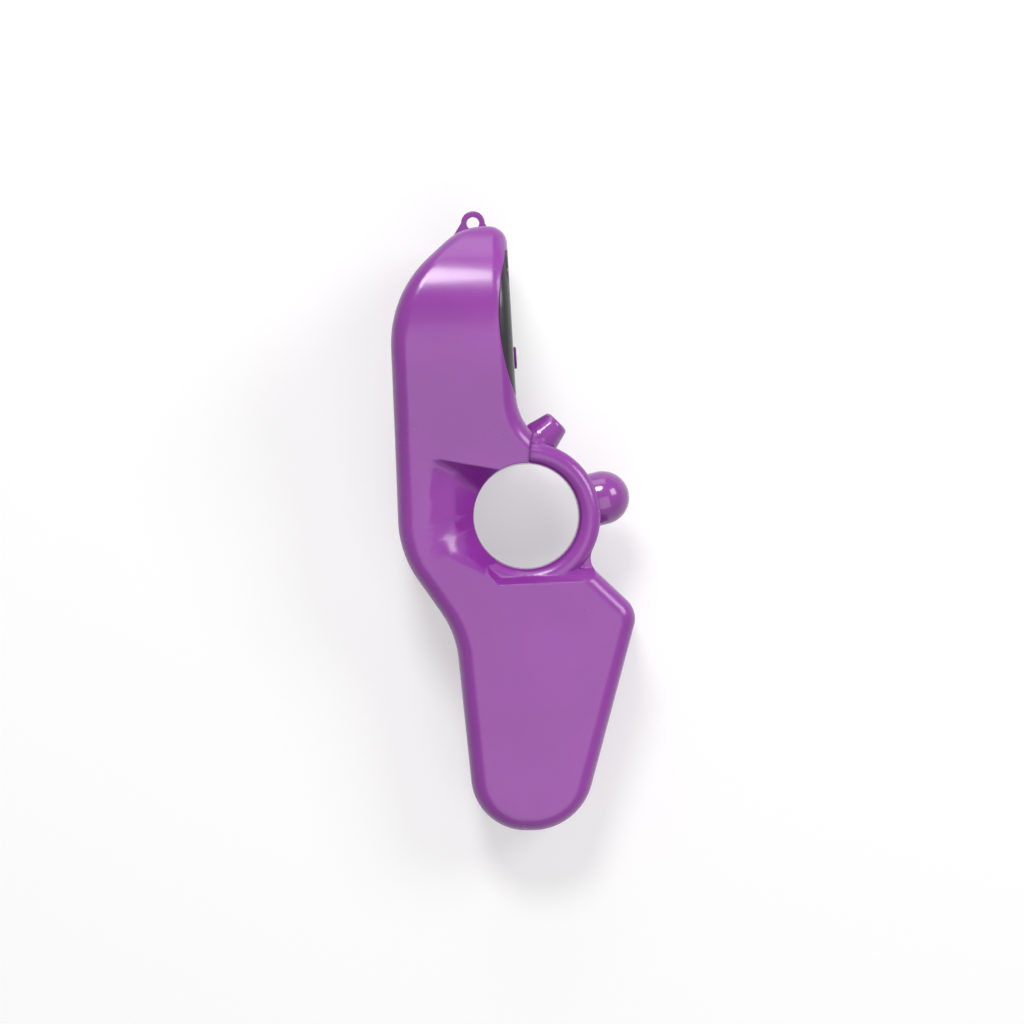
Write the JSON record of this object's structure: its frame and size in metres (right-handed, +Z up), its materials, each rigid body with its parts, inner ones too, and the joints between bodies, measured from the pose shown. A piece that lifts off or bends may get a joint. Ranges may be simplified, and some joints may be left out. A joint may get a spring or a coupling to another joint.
{
  "type": "digital tasbih counter",
  "caption": "Hand-held digital prayer counter with a wide display head, a finger hole with a domed counting button on its ring, and a tapering handle.",
  "frame": {"origin": "under the middle of the counter's box, on the surface that it lies on with its right side down", "axes": "+Z up, away from the surface; +Y along the length from the handle's tip to the head; +X from the back to the display and buttons"},
  "size_m": [0.053, 0.1358, 0.0394],
  "materials": {
    "purple_case": "glossy moulded ABS",
    "purple_button": "glossy moulded ABS",
    "black_bezel": "satin moulded ABS",
    "purple_key": "matte silicone",
    "clear_lens": "clear acrylic",
    "display_glass": "display glass with polariser",
    "light_guide": "frosted acrylic",
    "grey_rubber": "layered elastomer",
    "board_laminate": "green lacquered laminate",
    "amber_film": "polyimide film",
    "black_resin": "moulded resin",
    "plated_steel": "nickel plated",
    "red_lead": "insulated wire",
    "black_lead": "insulated wire"
  },
  "bodies": {
    "case": {"left_shell": "purple_case", "right_shell": "purple_case", "case_screws": "plated_steel", "bezel": "black_bezel", "display_lens": "clear_lens", "lcd_glass": "display_glass", "backlight_panel": "light_guide", "backlight_led": "light_guide", "zebra_strip": "grey_rubber", "main_board": "board_laminate", "chip_blob": "black_resin", "board_parts": "black_resin", "crystal_can": "plated_steel", "board_screws": "plated_steel", "left_key_switch": "black_resin", "right_key_switch": "black_resin", "count_switch": "black_resin", "count_board": "board_laminate", "reset_switch": "black_resin", "reset_board": "board_laminate", "switch_flex": "amber_film", "battery_cup": "black_resin", "button_cells": "plated_steel", "cell_contact": "plated_steel", "cell_spring": "plated_steel", "battery_door": "purple_case", "door_screw": "plated_steel", "lead_red": "red_lead", "lead_black": "black_lead"},
    "count_button": {"count_button": "purple_button", "count_plunger": "black_resin"},
    "reset_button": {"reset_button": "purple_button", "reset_plunger": "black_resin"},
    "left_key": {"left_key": "purple_key", "left_key_plunger": "black_resin"},
    "right_key": {"right_key": "purple_key", "right_key_plunger": "black_resin"}
  },
  "joints": [
    {"name": "count_press", "type": "slide", "parent": "case", "child": "count_button", "axis": [-0.9724, -0.2325, -0.0206], "range_m": [0, 0.0004], "stiffness_N_per_m": 800},
    {"name": "reset_press", "type": "slide", "parent": "case", "child": "reset_button", "axis": [-0.7071, -0.7043, -0.0625], "range_m": [0, 0.0004], "stiffness_N_per_m": 800},
    {"name": "left_key_press", "type": "slide", "parent": "case", "child": "left_key", "axis": [-0.9982, -0.0591, -0.0052], "range_m": [0, 0.00035], "stiffness_N_per_m": 800},
    {"name": "right_key_press", "type": "slide", "parent": "case", "child": "right_key", "axis": [-0.9982, -0.0591, -0.0052], "range_m": [0, 0.00035], "stiffness_N_per_m": 800}
  ]
}
